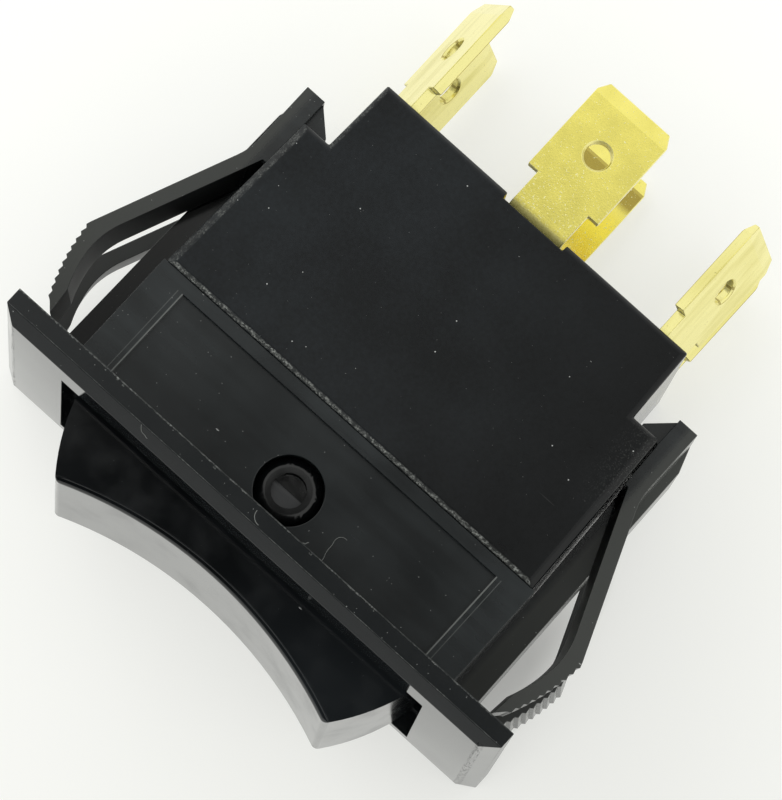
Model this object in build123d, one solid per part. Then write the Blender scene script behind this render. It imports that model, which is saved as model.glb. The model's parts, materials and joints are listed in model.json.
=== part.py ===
from build123d import *
import os
from math import asin, atan2, cos, degrees, pi, radians, sin, sqrt

# Snap-in panel rocker switch with two poles, two throws and a centre off position.
#
# Frame: the origin is the centre of the panel plane, which is the rear face of the bezel. +Z points
# out of the panel, X runs along the bezel, and the rocker rocks about an axis along Y. "Near" pieces
# are on the -Y side and "far" ones on the +Y side, "left" ones on -X and "right" ones on +X.
# All lengths are millimetres and all angles are degrees.

# Bezel, the part of the bracket in front of the panel
bezel_length = 44.45
bezel_width = 25.2
bezel_thickness = 2.13
bezel_edge = 1.27  # height of the upright edge below the bevels
bezel_end_bevel = 1.24
bezel_side_bevel = 0.85
bezel_crown = 0.17  # the front rises by this from the bevels to the opening
opening_length = 32.7
opening_width = 18.4
opening_depth = 1.5

# Well, the box of the bracket behind the panel
well_length = 31.9
well_width = 16.5
side_wall = 1.45
end_wall = 0.85
box_depth = 8.5
label_length = 28.4  # shallow sunk field on each side wall
label_sunk = 0.35
label_depth = 7.5

# Tongues, hooks and sprung arms at the ends of the bracket
tongue_width = 7.0
tongue_front = 18.8  # distance of its outer face from the middle, at the panel
tongue_back = 18.45
tongue_lead = 1.9  # sloped length at its free end
root_width = 16.6
root_height = 2.3  # how far the roots stand behind the shoulders of the case
root_outer = 17.8
slit = 0.4  # gap that separates an arm from the tongue
hook_width = 15.2
hook_reach = 1.7
hook_land = 0.45
fork_height = 3.54  # how far in front of the shoulders the arms leave the roots
arm_fillet = 0.9
arm_bend = (22.33, 7.3)  # distance from the middle and depth of the outer corner
arm_belly = (21.86, 4.3)
arm_tip = (20.8, 1.4)
arm_kink = (20.35, 2.7)  # where the inner side turns towards the point
arm_point = (20.15, 0.7)
arm_inner_bend = 6.0  # radius of the inner side opposite the outer corner
arm_lean = 0.36  # how much nearer the box an arm lies beside the tongue than at its outer side
arm_thickness = 1.05
arm_tip_thickness = 0.95
tooth_count = 10
tooth_height = 0.17
tooth_lean = 0.35  # part of each tooth taken by its steep side

# Rocker
pivot_depth = 2.45
tilt_limit = 12.0
rocker_side_gap = 0.3
rocker_end_gap = 0.23
rocker_top = 24.34
dish_depth = 2.4
rocker_skirt = 0.95
rocker_wall = 1.6
rocker_edge = 0.5
hub_radius = 3.9
bearing_radius = 2.45
bearing_gap = 0.05
trunnion_end_radius = 1.6
trunnion_cone = 0.75
core_radius = 1.22
core_depth = 1.2
post_radius = 2.4
post_depth = 13.2
web_thickness = 1.4

# Plungers and their springs
bore_radius = 1.5
bore_top = 1.0
plunger_gap = 0.05
plunger_tip = 1.2
plunger_touch = 0.08  # running gap between the plunger and the contact arm
plunger_head = 9.8
plunger_head_height = 1.0
spring_radius = 1.1
spring_wire = 0.34
spring_turns = 6
spring_seat = 0.05

# Case
case_half_length = 16.6
case_gap = 0.12
case_draft = 0.5
case_half_depth = 10.15
shoulder_depth = 21.8
waist_half = 13.85
waist_draft = 0.2
waist_height = 5.75  # how far the back of the case stands behind its shoulders
case_chamfer = 0.3
case_end_chamfer = 0.52  # on the long edges of the ends
spigot_front = 7.0
spigot_gap = 0.1
spigot_wall = 0.95
case_wall = 1.8
waist_wall = 1.15
floor_thickness = 2.0
barrier = 1.2  # wall between the two poles
seat_depth = 0.5
seat_margin = 0.4

# Terminals, 6.35 x 0.8 quick connect tabs
tab_width = 6.35
tab_thickness = 0.8
tab_length = 8.0
tab_corner = (0.49, 0.86)
tab_bevel = (1.1, 0.2)
tab_hole = 0.95
tab_hole_drop = 3.55  # from the shoulders to the middle of the hole
tab_sink = 0.14
neck_width = 4.6
outer_tab_x = 12.18
outer_tab_y = 5.65
outer_tab_turn = 20.6
outer_tab_stand = 2.2  # free length of neck between the case and the shoulders
centre_tab_y = 8.2
centre_tab_stand = 3.25
bend_radius = 1.05
slot_gap = 0.05

# Contacts
contact_reach = 2.85  # from the plane of an outer tab to the middle of its contact
pad_margin = 1.9
button_radius = 1.55
button_height = 0.7
button_bevel = 0.2
button_dome = 5.0  # radius of the domed face of a moving contact
closed_gap = 0.06  # between a domed and a flat contact with the rocker at its limit
throw_angle = 8.0
strip_thickness = 0.7
strip_width = 3.6
strip_overhang = 0.14  # of the contact arm's ends past their contacts
strip_landing = 0.96  # flat length between the slope of the arm and its contact
valley_half = 4.3
strip_drop = 0.3
lug_radius = 0.6
lug_gap = 0.05
lug_length = 0.9
lug_root_length = 0.3
ear_thickness = 0.8
ear_clear = 0.2
ear_length = 5.0
ear_rise = 0.9

# Rivets
rivet_radius = 1.1
rivet_head_radius = 1.7
rivet_head_height = 0.6
rivet_bevel = 0.3
rivet_gap = 0.04

# Worked out from the sizes above
box_half_length = well_length / 2 + end_wall
box_half_width = well_width / 2 + side_wall
rocker_half_width = well_width / 2 - rocker_side_gap
rocker_radius = well_length / 2 - rocker_end_gap
rocker_corner = sqrt(rocker_radius**2 - (rocker_top / 2) ** 2) - pivot_depth
root_back = shoulder_depth + root_height
arm_fork = shoulder_depth - fork_height
case_back = shoulder_depth + waist_height
turn = radians(outer_tab_turn)
contact_x = outer_tab_x - contact_reach * cos(turn)
pole_y = outer_tab_y - contact_reach * sin(turn)
strip_half = contact_x + button_radius + strip_overhang
strip_flat = contact_x - button_radius - strip_landing
floor_top = -case_back + floor_thickness
pad_top = floor_top + tab_thickness
throw = radians(throw_angle)
fixed_top = pad_top + button_height
under_button = strip_drop + strip_thickness / 2 + button_height
dome_centre = button_dome - under_button  # height above the pivot of the contact arm
fulcrum_z = fixed_top + closed_gap + button_dome - dome_centre * cos(throw) + contact_x * sin(throw)
plunger_radius = bore_radius - plunger_gap
strip_top = fulcrum_z + strip_thickness / 2
tip_centre_z = strip_top + plunger_touch + plunger_tip

SIDES = {"near": -1, "far": 1}
ENDS = {"left": -1, "right": 1}


def along_y(profile, y_from, y_to):
    """Extrude a profile drawn in X and Z from one Y to another."""
    return extrude(Plane.XZ.offset(-y_from) * profile, amount=y_from - y_to)


def outline(points):
    return make_face(Polyline(*points, close=True))


def box(x_range, y_range, z_range):
    """Block between two corners, each axis given as (low, high)."""
    size = [high - low for low, high in (x_range, y_range, z_range)]
    middle = [(high + low) / 2 for low, high in (x_range, y_range, z_range)]
    return Pos(*middle) * Box(*size)


def pin_y(radius, y_from, y_to, x=0.0, z=0.0):
    """Cylinder along Y."""
    length = abs(y_to - y_from)
    return Pos(x, (y_from + y_to) / 2, z) * Rot(90, 0, 0) * Cylinder(radius, length)


def post(radius, z_from, z_to, x=0.0, y=0.0):
    """Cylinder along Z."""
    return Pos(x, y, (z_from + z_to) / 2) * Cylinder(radius, abs(z_to - z_from))


def case_side(depth):
    """Half length of the wide part of the case at a depth behind the panel."""
    return case_half_length - case_draft * (depth - box_depth) / (shoulder_depth - box_depth)


def bracket_side(depth):
    """Inner face of the tongues and roots, which lie beside the end of the case."""
    return case_side(depth) + case_gap


# --- Bracket ---------------------------------------------------------------------------------


def bezel_section(half, bevel, opening):
    """Section across the front plate, bevelled at its edges and rising to the opening."""
    right = [
        (half, 0),
        (half, bezel_edge),
        (half - bevel, bezel_thickness),
        (opening / 2, bezel_thickness + bezel_crown),
    ]
    return outline(right + [(-x, z) for x, z in reversed(right)])


def bezel():
    half_length, half_width = bezel_length / 2, bezel_width / 2
    ends = bezel_section(half_length, bezel_end_bevel, opening_length)
    sides = bezel_section(half_width, bezel_side_bevel, opening_width)
    plate = along_y(ends, -half_width, half_width)
    return plate & extrude(Plane.YZ * sides, amount=half_length, both=True)


def tongue_profile():
    """Stiff strip that joins the root to the bezel, with a sloped end that leads it in."""
    anchor = box_half_length - end_wall / 2
    return outline(
        [
            (anchor, 0),
            (tongue_front, 0),
            (tongue_back, tongue_lead - root_back),
            (root_outer, -root_back),
            (bracket_side(shoulder_depth), -root_back),
            (bracket_side(shoulder_depth), -shoulder_depth),
            (bracket_side(box_depth), -box_depth),
            (anchor, -box_depth),
        ]
    )


def root_profile():
    fork_inner = bracket_side(arm_fork)
    return outline(
        [
            (fork_inner, -arm_fork),
            (root_outer, -arm_fork),
            (root_outer, -root_back),
            (bracket_side(shoulder_depth), -root_back),
            (bracket_side(shoulder_depth), -shoulder_depth),
        ]
    )


def hook_profile():
    """Ramp that rides over the case and drops behind its shoulder."""
    root = bracket_side(shoulder_depth) + case_gap
    tip = bracket_side(shoulder_depth) - hook_reach
    seat = shoulder_depth + case_gap
    return outline([(root, -seat), (root, -root_back), (tip, -seat - hook_land), (tip, -seat)])


def arm_profile():
    """Sprung arm: straight to the bend, then curved back, with teeth on the outside."""
    bend, belly, tip = [(x, -depth) for x, depth in (arm_bend, arm_belly, arm_tip)]
    curve = ThreePointArc(bend, belly, tip)
    teeth = []
    for index in range(tooth_count):
        crest = (index + 1 - tooth_lean) / tooth_count
        along = curve % crest
        teeth += [curve @ crest + Vector(along.Y, -along.X) * tooth_height]
        teeth += [curve @ ((index + 1) / tooth_count)]
    lean = atan2(arm_bend[0] - root_outer, arm_fork - arm_bend[1])
    leave = (root_outer, -arm_fork - arm_fillet)
    join = (root_outer + arm_fillet * sin(lean), arm_fillet * cos(lean) - arm_fork)
    inner_bend = (bend[0] - arm_thickness / cos(lean), bend[1])
    inner_belly = (belly[0] - arm_tip_thickness, belly[1])
    kink, point = [(x, -depth) for x, depth in (arm_kink, arm_point)]
    heel = (root_outer - arm_thickness / cos(lean), -arm_fork)
    edges = TangentArc(leave, join, tangent=(0, 1))
    edges += Polyline(join, bend, *teeth, point, kink)
    edges += ThreePointArc(kink, inner_belly, inner_bend)
    edges += Polyline(inner_bend, heel, (heel[0], leave[1]), leave)
    face = make_face(edges)
    corner = face.vertices().sort_by_distance((*inner_bend, 0))[0]
    return fillet(corner, arm_inner_bend)


def arm(side):
    """Arm drawn from the outer side of the root to the slit, leaning in towards the tongue."""
    outer_side = side * root_width / 2
    inward = Vector(-arm_lean, -side * ((root_width - tongue_width) / 2 - slit), 0)
    start = Plane.XZ.offset(-outer_side) * arm_profile()
    return extrude(start, amount=inward.length, dir=inward)


def bracket_end():
    """Tongue, root, hook and the two arms of the right-hand end."""
    end = along_y(tongue_profile(), -tongue_width / 2, tongue_width / 2)
    end += along_y(root_profile(), -root_width / 2, root_width / 2)
    end += along_y(hook_profile(), -hook_width / 2, hook_width / 2)
    for side in SIDES.values():
        end += arm(side)
    return end


def bracket():
    part = bezel()
    part += box(
        (-box_half_length, box_half_length), (-box_half_width, box_half_width), (-box_depth, bezel_edge)
    )
    part += bracket_end()
    part += mirror(bracket_end(), Plane.YZ)
    floor = bezel_thickness - opening_depth
    part -= box(
        (-opening_length / 2, opening_length / 2),
        (-opening_width / 2, opening_width / 2),
        (floor, bezel_thickness + 1),
    )
    part -= box(
        (-well_length / 2, well_length / 2),
        (-well_width / 2, well_width / 2),
        (-box_depth - 1, bezel_thickness),
    )
    for side in SIDES.values():
        face = side * box_half_width
        y_range = sorted((face - side * label_sunk, face + side))
        part -= box((-label_length / 2, label_length / 2), y_range, (-label_depth, 0))
    part -= pin_y(bearing_radius, -box_half_width - 1, box_half_width + 1, z=-pivot_depth)
    return part


# --- Rocker ----------------------------------------------------------------------------------


def rocker_profile(inset, skirt):
    """Dished top and round ends about the pivot, drawn that far inside the outer surface."""
    radius = rocker_radius - inset
    half_top = rocker_top / 2 - inset
    corner = sqrt(radius**2 - half_top**2) - pivot_depth - inset * 0.4
    foot = sqrt(radius**2 - skirt**2)
    bulge = radius * cos(asin((corner + pivot_depth - skirt) / 2 / radius))
    bulge_z = (corner + pivot_depth - skirt) / 2 - pivot_depth
    dish = rocker_corner - dish_depth - inset
    edges = ThreePointArc((-half_top, corner), (0, dish), (half_top, corner))
    edges += ThreePointArc((half_top, corner), (bulge, bulge_z), (foot, -skirt - pivot_depth))
    edges += Line((foot, -skirt - pivot_depth), (-foot, -skirt - pivot_depth))
    edges += ThreePointArc((-foot, -skirt - pivot_depth), (-bulge, bulge_z), (-half_top, corner))
    return make_face(edges)


def trunnion(side):
    """Round bearing stub with a tapered end and a stepped core hole."""
    root_y, end_y = side * (rocker_half_width - rocker_wall), side * (box_half_width - label_sunk)
    radius = bearing_radius - bearing_gap
    stub = pin_y(radius, root_y, end_y, z=-pivot_depth)
    rim = stub.faces().sort_by(Axis.Y)[-1 if side > 0 else 0].edges()
    stub = chamfer(rim, trunnion_cone, radius - trunnion_end_radius)
    mouth = end_y + side * 0.1
    hole = pin_y(core_radius, mouth, end_y - side * core_depth, z=-pivot_depth)
    step_range = sorted((mouth, end_y - side * core_depth / 3))
    step = hole & box(
        (-core_radius, core_radius), step_range, (-pivot_depth, core_radius - pivot_depth)
    )
    lower = hole & box(
        (-core_radius, core_radius),
        sorted((mouth, end_y - side * core_depth)),
        (-core_radius - pivot_depth, -pivot_depth),
    )
    return stub - step - lower


def rocker():
    cap = along_y(rocker_profile(0, rocker_skirt), -rocker_half_width, rocker_half_width)
    top_edges = [
        edge for edge in cap.edges() if edge.center().Z > rocker_corner - dish_depth - rocker_edge
    ]
    cap = fillet(top_edges, rocker_edge)
    inner = rocker_half_width - rocker_wall
    cap -= along_y(rocker_profile(rocker_wall, rocker_skirt + 1), -inner, inner)
    for side in SIDES.values():
        outer = side * rocker_half_width
        cap += pin_y(hub_radius, side * inner, outer, z=-pivot_depth)
    ceiling = rocker_corner - dish_depth - rocker_wall
    cap += box(
        (-web_thickness / 2, web_thickness / 2),
        (-inner, inner),
        (-pivot_depth - hub_radius, ceiling + 0.5),
    )
    for side in SIDES.values():
        cap += post(post_radius, -post_depth, ceiling + 0.5, y=side * pole_y)
    for side in SIDES.values():
        cap -= post(bore_radius, -post_depth - 1, -bore_top, y=side * pole_y)
        cap += trunnion(side)
    return cap


# --- Plungers and springs --------------------------------------------------------------------


def plunger(side):
    """Turned pin with two guiding collars, a waist between them and a round tip."""
    top, collar = -plunger_head, plunger_head_height
    guide = collar - post_depth
    tip_z = tip_centre_z
    right = [(0, top), (plunger_radius, top), (plunger_radius, top - collar)]
    right += [(plunger_tip, top - collar), (plunger_tip, guide), (plunger_radius, guide)]
    right += [(plunger_radius, guide - 2 * collar), (plunger_tip, guide - 2 * collar)]
    right += [(plunger_tip, tip_z)]
    nose = plunger_tip * sqrt(0.5)
    edges = Polyline(*right)
    edges += ThreePointArc((plunger_tip, tip_z), (nose, tip_z - nose), (0, tip_z - plunger_tip))
    edges += Line((0, tip_z - plunger_tip), (0, top))
    return Pos(0, side * pole_y, 0) * revolve(Plane.XZ * make_face(edges), Axis.Z)


def spring(side):
    """Helical spring between the end of the bore and the head of the plunger, its wire eight-sided."""
    low = -plunger_head + spring_seat + spring_wire / 2
    high = -bore_top - spring_seat - spring_wire / 2
    helix = Helix((high - low) / spring_turns, high - low, spring_radius)
    start = Plane(origin=helix @ 0, z_dir=helix % 0)
    wire = sweep(start * RegularPolygon(spring_wire / 2, 8), path=helix, is_frenet=True)
    return Pos(0, side * pole_y, low) * wire


# --- Case ------------------------------------------------------------------------------------


def case_outline():
    wide, shoulder = case_side(box_depth), case_side(shoulder_depth)
    waist = waist_half - waist_draft
    half = [
        (wide, -box_depth),
        (shoulder, -shoulder_depth),
        (waist_half, -shoulder_depth),
        (waist, -case_back),
    ]
    return outline(half + [(-x, z) for x, z in reversed(half)])


def case():
    part = along_y(case_outline(), -case_half_depth, case_half_depth)
    for chamfer_size, at_ends in ((case_end_chamfer, True), (case_chamfer, False)):
        rims = part.faces().sort_by(Axis.Y)
        edges = rims[0].edges() + rims[-1].edges()
        end_x = case_side(shoulder_depth) - case_end_chamfer
        chosen = [edge for edge in edges if (abs(edge.center().X) > end_x) == at_ends]
        part = chamfer(chosen, chamfer_size)
    spigot_x = well_length / 2 - spigot_gap
    spigot_y = well_width / 2 - spigot_gap
    part += box((-spigot_x, spigot_x), (-spigot_y, spigot_y), (-box_depth - 1, -spigot_front))
    mouth_x, mouth_y = spigot_x - spigot_wall, spigot_y - spigot_wall
    room_x = case_side(shoulder_depth) - case_wall
    room_y = case_half_depth - case_wall
    waist_x = waist_half - waist_draft - waist_wall
    for side in SIDES.values():
        mouth = sorted((side * barrier / 2, side * mouth_y))
        room = sorted((side * barrier / 2, side * room_y))
        part -= box((-mouth_x, mouth_x), mouth, (-box_depth - 1, -spigot_front + 1))
        part -= box((-room_x, room_x), room, (-shoulder_depth + case_wall, -box_depth - 1))
        part -= box((-waist_x, waist_x), room, (floor_top, -shoulder_depth + case_wall))
    part -= box((-mouth_x, mouth_x), (-barrier, barrier), (-post_depth, -spigot_front + 1))
    for side in SIDES.values():
        part -= post(rivet_radius + rivet_gap, floor_top + 1, -case_back - 1, y=side * pole_y)
        edge = sorted((side * (pole_y - rivet_head_radius - seat_margin), side * (case_half_depth + 1)))
        seat_half = neck_width / 2 + seat_margin
        part -= box((-seat_half, seat_half), edge, (-case_back - 1, -case_back + seat_depth))
        for end in ENDS.values():
            part -= at_outer_tab(terminal_pocket(), side, end)
    return part


# --- Terminals -------------------------------------------------------------------------------


def at_outer_tab(shape, side, end):
    """Turn and move a shape whose X points from an outer tab towards its contact."""
    angle = degrees(atan2(-side * sin(turn), -end * cos(turn)))
    return Pos(end * outer_tab_x, side * outer_tab_y, 0) * Rot(0, 0, angle) * shape


def terminal_pocket():
    """Slot through the floor of the case and the recess that the bend of the strip needs."""
    half, low = neck_width / 2 + slot_gap, tab_thickness / 2 + slot_gap
    slot = box((-low, low), (-half, half), (-case_back - 1, pad_top))
    return slot + box((-low, 2 * tab_thickness), (-half, half), (floor_top, pad_top + slot_gap))


def tab(shoulder):
    """Blade hanging down from its shoulders, in the YZ plane, with its tip bevelled."""
    half, tip = tab_width / 2, shoulder - tab_length
    cut, rise = tab_corner
    face = outline(
        [(-half, shoulder), (-half, tip + rise), (cut - half, tip)]
        + [(half - cut, tip), (half, tip + rise), (half, shoulder)]
    )
    blade = extrude(Plane.YZ * face, amount=tab_thickness / 2, both=True)
    bevel_length, bevel_depth = tab_bevel
    skin = tab_thickness / 2
    for sign in (-1, 1):
        wedge = outline(
            [
                (sign * skin, tip + bevel_length),
                (sign * (skin - bevel_depth), tip - bevel_length * 0.01),
                (sign * (skin + 1), tip - bevel_length * 0.01),
                (sign * (skin + 1), tip + bevel_length),
            ]
        )
        blade -= along_y(wedge, -tab_width, tab_width)
    hole_z = shoulder - tab_hole_drop
    blade -= Pos(0, 0, hole_z) * Rot(0, 90, 0) * Cylinder(tab_hole, 2 * tab_thickness)
    for sign in (-1, 1):
        sink = Cone(tab_hole, tab_hole + tab_sink, tab_sink)
        place = Pos(sign * (skin - tab_sink / 2), 0, hole_z) * Rot(0, sign * 90, 0)
        blade -= place * sink
    return blade


def outer_terminal(side, end):
    """Tab, neck through the floor, and the contact pad folded over on the floor."""
    shoulder = -case_back - outer_tab_stand
    strip = tab(shoulder)
    skin, half = tab_thickness / 2, neck_width / 2
    reach = contact_reach + pad_margin
    bent = outline(
        [(-skin, shoulder), (skin, shoulder), (skin, floor_top)]
        + [(reach, floor_top), (reach, pad_top), (-skin, pad_top)]
    )
    bent = along_y(bent, -half, half)
    corner = bent.edges().filter_by(Axis.Y).sort_by(Axis.Z)[-2:].sort_by(Axis.X)[0]
    return at_outer_tab(strip + fillet(corner, tab_thickness / 2), side, end)


def centre_terminal(side):
    """Tab folded at right angles, its foot riveted into a shallow seat under the case."""
    foot_top = -case_back + seat_depth
    shoulder = foot_top - centre_tab_stand
    strip = Rot(0, 0, 90) * tab(shoulder)
    skin, half = tab_thickness / 2, neck_width / 2
    foot_end = centre_tab_y - pole_y + rivet_head_radius
    profile = outline(
        [(skin, shoulder), (-skin, shoulder), (-skin, foot_top)]
        + [(foot_end, foot_top), (foot_end, foot_top - tab_thickness)]
        + [(skin, foot_top - tab_thickness)]
    )
    fold = extrude(Plane.YZ * profile, amount=half, both=True)
    heel = fold.edges().filter_by(Axis.X).sort_by(Axis.Y)[:2].sort_by(Axis.Z)[-1]
    fold = fillet(heel, bend_radius)
    hole_y = centre_tab_y - pole_y
    fold -= post(rivet_radius + rivet_gap, foot_top + 1, foot_top - 2 * tab_thickness, y=hole_y)
    placed = Pos(0, -centre_tab_y, 0) * (strip + fold)
    return placed if side < 0 else mirror(placed, Plane.XZ)


def rivet(side):
    """Solid rivet through the terminal's foot, the floor and the fulcrum."""
    y = side * pole_y
    outer_face = -case_back + seat_depth - tab_thickness
    shank = post(rivet_radius, outer_face, pad_top, y=y)
    head = post(rivet_head_radius, outer_face - rivet_head_height, outer_face, y=y)
    head = chamfer(head.faces().sort_by(Axis.Z)[0].edges(), rivet_bevel)
    clinch = post(rivet_head_radius, pad_top, pad_top + rivet_head_height, y=y)
    clinch = chamfer(clinch.faces().sort_by(Axis.Z)[-1].edges(), rivet_bevel)
    return shank + head + clinch


# --- Contacts --------------------------------------------------------------------------------


def fixed_contact(side, end):
    """Flat button with a bevelled rim, on the pad of an outer terminal."""
    button = post(button_radius, pad_top, fixed_top, x=end * contact_x, y=side * pole_y)
    return chamfer(button.faces().sort_by(Axis.Z)[-1].edges(), button_bevel)


def moving_contact(side, end):
    """Domed button under the end of a contact arm, so that it touches at one point when tilted."""
    x, y, face = end * contact_x, side * pole_y, fulcrum_z - under_button
    button = post(button_radius, face, face + button_height, x=x, y=y)
    return button & (Pos(x, y, face + button_dome) * Sphere(button_dome))


def valley_radius():
    """Radius of the dip in a contact arm that the plunger tip follows as both turn."""
    swing = -pivot_depth - tip_centre_z
    tilt = radians(tilt_limit)
    x, z = -swing * sin(tilt), -pivot_depth - swing * cos(tilt) - fulcrum_z
    across = x * cos(throw) + z * sin(throw)
    rise = z * cos(throw) - x * sin(throw) - (tip_centre_z - fulcrum_z)
    path = (across**2 + rise**2) / (2 * rise)
    return path + plunger_tip + plunger_touch


def contact_arm(side):
    """See-saw strip with a dip for the plunger, flat ends and two bearing lugs."""
    top, skin = valley_radius(), strip_thickness / 2
    angle = asin(valley_half / top)
    under = top + strip_thickness
    centre = fulcrum_z + skin + top
    flat_top = fulcrum_z - strip_drop + skin
    crest = (valley_half, centre - top * cos(angle))
    root = (under * sin(angle), centre - under * cos(angle))
    right = [crest, (strip_flat, flat_top), (strip_half, flat_top)]
    right += [(strip_half, flat_top - strip_thickness)]
    right += [(strip_flat - skin / 2, flat_top - strip_thickness), root]
    left = [(-x, z) for x, z in reversed(right)]
    edges = ThreePointArc(left[-1], (0, fulcrum_z + skin), crest)
    edges += Polyline(*right)
    edges += ThreePointArc(root, (0, fulcrum_z - skin), left[0])
    edges += Polyline(*left)
    y, edge = side * pole_y, strip_width / 2
    strip = along_y(make_face(edges), y - edge, y + edge)
    for sign in (-1, 1):
        lug_root, lug_end = y + sign * (edge - lug_root_length), y + sign * (edge + lug_length)
        strip += pin_y(lug_radius, lug_root, lug_end, z=fulcrum_z)
    return strip


def fulcrum(side):
    """Folded saddle whose ears carry the lugs of the contact arm in open notches."""
    y, half = side * pole_y, ear_length / 2
    inner = strip_width / 2 + ear_clear
    outer = inner + ear_thickness
    part = box((-half, half), (y - outer, y + outer), (floor_top, pad_top))
    for sign in (-1, 1):
        ear_range = sorted((y + sign * inner, y + sign * outer))
        part += box((-half, half), ear_range, (floor_top, fulcrum_z + ear_rise))
    notch = lug_radius + lug_gap
    part -= pin_y(notch, y - outer - 1, y + outer + 1, z=fulcrum_z)
    part -= box((-notch, notch), (y - outer - 1, y + outer + 1), (fulcrum_z, fulcrum_z + ear_rise + 1))
    return part - post(rivet_radius + rivet_gap, floor_top - 1, pad_top + 1, y=y)


# --- Output ----------------------------------------------------------------------------------


def pieces():
    nodes = {"bracket": bracket(), "rocker": rocker(), "case": case()}
    for side_name, side in SIDES.items():
        nodes[f"terminal_{side_name}_centre"] = centre_terminal(side)
        nodes[f"rivet_{side_name}"] = rivet(side)
        nodes[f"fulcrum_{side_name}"] = fulcrum(side)
        nodes[f"contact_arm_{side_name}"] = contact_arm(side)
        nodes[f"plunger_{side_name}"] = plunger(side)
        nodes[f"spring_{side_name}"] = spring(side)
        for end_name, end in ENDS.items():
            nodes[f"terminal_{side_name}_{end_name}"] = outer_terminal(side, end)
            nodes[f"fixed_contact_{side_name}_{end_name}"] = fixed_contact(side, end)
            nodes[f"moving_contact_{side_name}_{end_name}"] = moving_contact(side, end)
    return nodes


os.makedirs("parts", exist_ok=True)
for name, shape in pieces().items():
    export_step(shape, f"parts/{name}.step")
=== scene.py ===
import json
import math
from functools import cached_property

import bmesh
import bpy
from mathutils import Matrix, Quaternion, Vector

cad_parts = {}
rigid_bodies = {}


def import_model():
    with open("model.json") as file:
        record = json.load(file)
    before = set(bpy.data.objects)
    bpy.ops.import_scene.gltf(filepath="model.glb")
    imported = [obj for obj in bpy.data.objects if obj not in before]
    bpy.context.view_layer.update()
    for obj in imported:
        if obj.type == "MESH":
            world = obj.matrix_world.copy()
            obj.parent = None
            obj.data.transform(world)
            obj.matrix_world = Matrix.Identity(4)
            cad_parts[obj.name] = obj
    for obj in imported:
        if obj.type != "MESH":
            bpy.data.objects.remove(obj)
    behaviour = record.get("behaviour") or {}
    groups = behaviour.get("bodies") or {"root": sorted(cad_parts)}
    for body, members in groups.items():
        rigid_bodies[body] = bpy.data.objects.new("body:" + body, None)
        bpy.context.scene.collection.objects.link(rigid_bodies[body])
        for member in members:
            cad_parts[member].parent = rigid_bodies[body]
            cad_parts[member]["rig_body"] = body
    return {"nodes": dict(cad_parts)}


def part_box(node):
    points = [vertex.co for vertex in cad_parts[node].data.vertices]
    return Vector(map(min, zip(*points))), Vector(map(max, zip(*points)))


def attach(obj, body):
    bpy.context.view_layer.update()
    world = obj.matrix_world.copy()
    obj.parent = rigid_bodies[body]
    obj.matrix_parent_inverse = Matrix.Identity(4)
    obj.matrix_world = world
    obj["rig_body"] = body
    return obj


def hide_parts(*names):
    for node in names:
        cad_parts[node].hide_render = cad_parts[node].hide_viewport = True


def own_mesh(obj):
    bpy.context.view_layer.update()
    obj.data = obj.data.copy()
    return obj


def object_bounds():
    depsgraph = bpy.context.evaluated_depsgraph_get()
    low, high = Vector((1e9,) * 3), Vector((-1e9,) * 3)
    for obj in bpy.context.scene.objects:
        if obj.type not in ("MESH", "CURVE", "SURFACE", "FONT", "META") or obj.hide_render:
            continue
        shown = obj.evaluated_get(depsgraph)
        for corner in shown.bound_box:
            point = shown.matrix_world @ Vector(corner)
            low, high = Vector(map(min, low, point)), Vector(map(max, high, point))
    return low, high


bl_info = {
    "name": "Snap-in Rocker Switch",
    "version": (1, 0, 0),
    "blender": (4, 5, 0),
    "location": "View3D > Sidebar > Switch",
    "description": "Dresses the rocker switch with finished mouldings, brass terminals and a stage",
    "category": "Object",
}

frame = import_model()
cad_low, cad_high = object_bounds()

MM = 0.001
SIDES = ("near", "far")
ENDS = ("left", "right")

# How a frame node's copy is cleaned, shaded and rounded
MERGE_DISTANCE = 0.002 * MM
FLAT_ANGLE = math.radians(0.4)
SHARP_ANGLE = math.radians(32)
ROUNDING_SEGMENTS = 2
FULL_ROUNDING_LENGTH = 6.0  # an edge shorter than this many widths is rounded less

# Places on the switch in millimetres. X runs along the bezel, the near side faces -Y, the rocker
# faces +Z and the panel plane is at Z = 0. A pair is where a tone begins and where it is full.
BEZEL_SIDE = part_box("bracket")[1].y / MM
BEZEL_SHOULDER = 1.27  # where the bezel's upright edge ends and its bevel begins
BEZEL_NICKS = (20.8, 21.3)  # band near the ends of the bezel's front
FIELD_END = 14.2  # sunk field on the bracket's side wall
FIELD_REAR = -7.5
FIELD_WALL = (9.0, 9.6)
FIBRE = (-0.26, 0.4, 0.69)  # middle along X and Z and radius of the fibre beside the bearing
PAST_BOX = (16.9, 17.4)  # beyond the end walls of the bracket's box
PAST_TONGUE = (4.0, 5.0)  # from the slit beside a tongue out to the arm
ALONG_BRACKET = (-17.0, 17.0)
ALONG_CASE = (-13.0, 7.0)
UP_CASE = (-26.0, -12.0)
CASE_CORNER = ((-13.5, -16.5), (-14.5, -18.5))  # hazy corner at the left shoulder, along X and Z
CASE_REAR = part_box("case")[0].z / MM
TAB_END = cad_low.z / MM
COINED_TIP = TAB_END + 0.88  # where the thinned tip of a tab begins
TAB_TIP = (COINED_TIP + 2.02, COINED_TIP + 1.42)  # end of a far tab, brown with painted shade
TAB_BEND = (CASE_REAR - 0.85, CASE_REAR - 0.25)
TAB_SHADE = (CASE_REAR - 5.45, CASE_REAR - 0.45)  # painted shade and a warm painted reflection on a far tab, up to the case
TAB_GLINTS = (CASE_REAR - 5.95, CASE_REAR + 0.05)
OUTER_TABS = 6.0  # beyond this from the middle only the outer tabs are left
ROCKER_AXIS = -2.45
HUB_RADIUS = 2.51  # end of the hub in its bearing, painted in shade
HUB_INNER = 7.0
LEDGE_RADIUS = 1.204  # half-round ledge on the hub's end, painted lighter
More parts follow.
